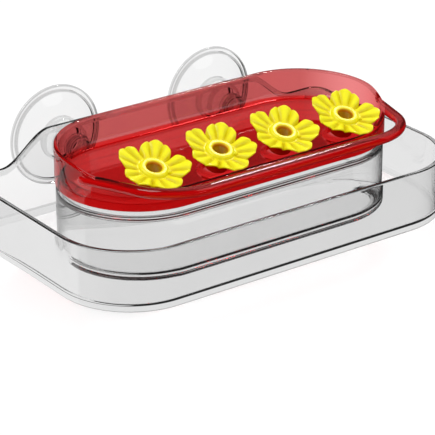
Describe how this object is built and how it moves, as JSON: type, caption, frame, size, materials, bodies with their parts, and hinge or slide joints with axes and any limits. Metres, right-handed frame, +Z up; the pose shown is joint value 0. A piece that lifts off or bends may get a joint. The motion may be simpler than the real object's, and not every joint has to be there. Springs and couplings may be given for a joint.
{
  "type": "window bird feeder",
  "caption": "Window hummingbird feeder: clear tray held by suction cups, with a clear nectar cup under a red dished lid that has a perch rail and yellow flower ports.",
  "frame": {"origin": "underside of the tray, below the middle of the nectar cup", "axes": "+X along the feeder's length, +Y towards the window, +Z up"},
  "size_m": [0.2084, 0.1347, 0.0579],
  "materials": {
    "tray_clear": "clear, polished",
    "cup_clear": "clear, polished",
    "lid_red": "see-through red, polished",
    "flower_yellow": "solid yellow, satin",
    "suction_clear": "clear soft vinyl, glossy"
  },
  "bodies": {
    "base": {"tray": "tray_clear", "nectar_cup": "cup_clear", "suction_cup_left": "suction_clear", "suction_cup_right": "suction_clear"},
    "lid": {"lid": "lid_red", "flower_1": "flower_yellow", "flower_2": "flower_yellow", "flower_3": "flower_yellow", "flower_4": "flower_yellow"}
  },
  "joints": [
    {"name": "lid_lift", "type": "slide", "parent": "base", "child": "lid", "axis": [0, 0, 1], "range_m": [0, 0.05]}
  ]
}
